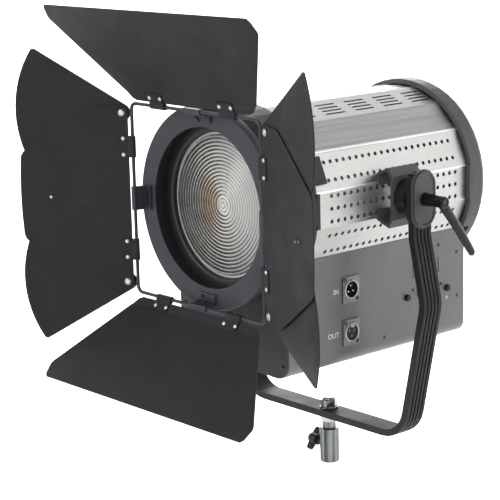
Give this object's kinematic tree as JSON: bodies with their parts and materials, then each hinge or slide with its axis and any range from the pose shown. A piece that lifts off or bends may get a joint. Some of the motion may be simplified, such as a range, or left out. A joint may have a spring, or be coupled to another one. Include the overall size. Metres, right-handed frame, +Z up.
{
  "type": "fresnel spotlight",
  "caption": "Fresnel spotlight head with barn doors on a U-shaped yoke and stand socket, with a perforated barrel and a control box below.",
  "frame": {"origin": "centre of the mouth of the stand socket, which stands on the spigot of a light stand", "axes": "+Z up along the stand socket, -Y the way the lamp shines, +X the side with the connectors and buttons"},
  "size_m": [0.4793, 0.4759, 0.5725],
  "materials": {
    "brushed": "brushed along the barrel",
    "box_gray": "satin gray paint",
    "cast_gray": "dark gray satin paint on a casting",
    "cast_dark": "black satin paint on a casting",
    "leaf_black": "fine textured black powder coat",
    "ring_paint": "dark blue-gray powder coat",
    "yoke_black": "ribbed extrusion, black satin",
    "chrome": "bright plated",
    "steel": "satin nickel",
    "brass": "plain",
    "black_plastic": "fine matte",
    "gloss_plastic": "smooth gloss black",
    "glass": "stepped clear glass",
    "display": "smoked window",
    "board": "circuit board",
    "phosphor": "amber emitter",
    "heat_sink": "bare aluminium"
  },
  "bodies": {
    "yoke": {"stand_socket": "chrome", "spacer_collar": "steel", "yoke_bolt": "chrome", "yoke_frame": "yoke_black", "boss_cap_right": "cast_gray", "boss_cap_left": "cast_gray"},
    "clamp_pad": {"clamp_pad": "brass"},
    "wing_knob": {"wing_knob": "black_plastic"},
    "tilt_lever": {"tilt_lever": "gloss_plastic"},
    "tilt_knob": {"tilt_knob_left": "black_plastic"},
    "head": {"pivot_bracket_right": "cast_gray", "pivot_bracket_left": "cast_gray", "friction_disc_right": "black_plastic", "friction_disc_left": "black_plastic", "top_panel": "brushed", "shoulder_panel_right": "brushed", "shoulder_panel_left": "brushed", "side_panel_right": "brushed", "side_panel_left": "brushed", "accessory_holder": "cast_dark", "front_casting": "cast_dark", "rear_casting": "cast_gray", "fresnel_lens": "glass", "lens_retainer": "cast_dark", "control_box": "box_gray", "box_front_plate": "box_gray", "box_rear_plate": "box_gray", "power_inlet": "black_plastic", "power_switch_frame": "black_plastic", "xlr_in": "steel", "xlr_out": "steel", "display_window": "display", "driver_board": "board", "guide_rod_right": "steel", "guide_rod_left": "steel", "fan_frame": "black_plastic"},
    "rocker": {"power_rocker": "black_plastic"},
    "xlr_latch": {"xlr_latch": "steel"},
    "confirm_button": {"confirm_button": "black_plastic"},
    "menu_button": {"menu_button": "black_plastic"},
    "minus_button": {"minus_button": "black_plastic"},
    "plus_button": {"plus_button": "black_plastic"},
    "focus_screw": {"lead_screw": "steel", "focus_knob": "black_plastic"},
    "carriage": {"led_carriage": "heat_sink", "led_board": "heat_sink", "led_emitter": "phosphor"},
    "fan": {"fan_rotor": "black_plastic"},
    "doors": {"door_ring": "ring_paint", "wire_frame": "ring_paint"},
    "ring_latch": {"ring_latch": "ring_paint"},
    "leaf_top": {"leaf_top": "leaf_black"},
    "leaf_bottom": {"leaf_bottom": "leaf_black"},
    "leaf_left": {"leaf_left": "leaf_black"},
    "leaf_right": {"leaf_right": "leaf_black"},
    "ear_left_upper": {"ear_left_upper": "leaf_black"},
    "ear_left_lower": {"ear_left_lower": "leaf_black"},
    "ear_right_upper": {"ear_right_upper": "leaf_black"},
    "ear_right_lower": {"ear_right_lower": "leaf_black"}
  },
  "joints": [
    {"name": "head_tilt", "type": "hinge", "parent": "yoke", "child": "head", "pos_m": [0, 0, 0.349], "axis": [1, 0, 0], "range_deg": [-90, 45]},
    {"name": "tilt_lever_turn", "type": "hinge", "parent": "yoke", "child": "tilt_lever", "pos_m": [0.18, 0, 0.349], "axis": [1, 0, 0], "range_deg": [-60, 30]},
    {"name": "tilt_knob_turn", "type": "hinge", "parent": "yoke", "child": "tilt_knob", "pos_m": [-0.17, 0, 0.349], "axis": [1, 0, 0], "continuous": true},
    {"name": "wing_turn", "type": "hinge", "parent": "clamp_pad", "child": "wing_knob", "pos_m": [-0.02, 0, 0.022], "axis": [1, 0, 0], "range_deg": [-722, 232]},
    {"name": "clamp_travel", "type": "slide", "parent": "yoke", "child": "clamp_pad", "axis": [1, 0, 0], "range_m": [-0.0025, 0.0008]},
    {"name": "doors_spin", "type": "hinge", "parent": "head", "child": "doors", "pos_m": [0, -0.185, 0.345], "axis": [0, 1, 0], "continuous": true},
    {"name": "ring_latch_lift", "type": "slide", "parent": "doors", "child": "ring_latch", "axis": [0, 0, 1], "range_m": [0, 0.005], "stiffness_N_per_m": 600, "springref_m": -0.002},
    {"name": "leaf_top_fold", "type": "hinge", "parent": "doors", "child": "leaf_top", "pos_m": [0, -0.2014, 0.457], "axis": [1, 0, 0], "range_deg": [-32, 105]},
    {"name": "leaf_bottom_fold", "type": "hinge", "parent": "doors", "child": "leaf_bottom", "pos_m": [0, -0.2014, 0.233], "axis": [-1, 0, 0], "range_deg": [-40, 93]},
    {"name": "leaf_left_fold", "type": "hinge", "parent": "doors", "child": "leaf_left", "pos_m": [-0.112, -0.2014, 0.345], "axis": [0, 0, -1], "range_deg": [-100, 25]},
    {"name": "leaf_right_fold", "type": "hinge", "parent": "doors", "child": "leaf_right", "pos_m": [0.112, -0.2014, 0.345], "axis": [0, 0, 1], "range_deg": [-114, 18]},
    {"name": "ear_left_upper_swivel", "type": "hinge", "parent": "leaf_left", "child": "ear_left_upper", "pos_m": [-0.12216, -0.20851, 0.4455], "axis": [-0.5736, 0.8192, 0], "range_deg": [-45, 8]},
    {"name": "ear_left_lower_swivel", "type": "hinge", "parent": "leaf_left", "child": "ear_left_lower", "pos_m": [-0.12216, -0.20851, 0.2445], "axis": [0.5736, -0.8192, 0], "range_deg": [-45, 8]},
    {"name": "ear_right_upper_swivel", "type": "hinge", "parent": "leaf_right", "child": "ear_right_upper", "pos_m": [0.1236, -0.20578, 0.4455], "axis": [-0.3535, -0.9354, 0], "range_deg": [-45, 8]},
    {"name": "ear_right_lower_swivel", "type": "hinge", "parent": "leaf_right", "child": "ear_right_lower", "pos_m": [0.1236, -0.20578, 0.2445], "axis": [0.3535, 0.9354, 0], "range_deg": [-32, 21]},
    {"name": "confirm_press", "type": "slide", "parent": "head", "child": "confirm_button", "axis": [-1, 0, 0], "range_m": [0, 0.0015], "stiffness_N_per_m": 400, "springref_m": -0.0005},
    {"name": "menu_press", "type": "slide", "parent": "head", "child": "menu_button", "axis": [-1, 0, 0], "range_m": [0, 0.0015], "stiffness_N_per_m": 400, "springref_m": -0.0005},
    {"name": "minus_press", "type": "slide", "parent": "head", "child": "minus_button", "axis": [-1, 0, 0], "range_m": [0, 0.0015], "stiffness_N_per_m": 400, "springref_m": -0.0005},
    {"name": "plus_press", "type": "slide", "parent": "head", "child": "plus_button", "axis": [-1, 0, 0], "range_m": [0, 0.0015], "stiffness_N_per_m": 400, "springref_m": -0.0005},
    {"name": "rocker_tip", "type": "hinge", "parent": "head", "child": "rocker", "pos_m": [0.008, 0.139, 0.211], "axis": [1, 0, 0], "range_deg": [-16, 0]},
    {"name": "xlr_latch_press", "type": "slide", "parent": "head", "child": "xlr_latch", "axis": [-1, 0, 0], "range_m": [0, 0.002], "stiffness_N_per_m": 500, "springref_m": -0.001},
    {"name": "focus_turn", "type": "hinge", "parent": "head", "child": "focus_screw", "pos_m": [0, 0.17, 0.292], "axis": [0, 1, 0], "range_deg": [-542, 542]},
    {"name": "carriage_slide", "type": "slide", "parent": "head", "child": "carriage", "axis": [0, 1, 0], "range_m": [-0.03, 0.03]},
    {"name": "fan_spin", "type": "hinge", "parent": "head", "child": "fan", "pos_m": [0, 0.138, 0.345], "axis": [0, 1, 0], "continuous": true}
  ],
  "couplings": [
    {"joint": "focus_turn", "follows": "carriage_slide", "rad_per_m": 314.16},
    {"joint": "wing_turn", "follows": "clamp_travel", "rad_per_m": 5026.5}
  ]
}
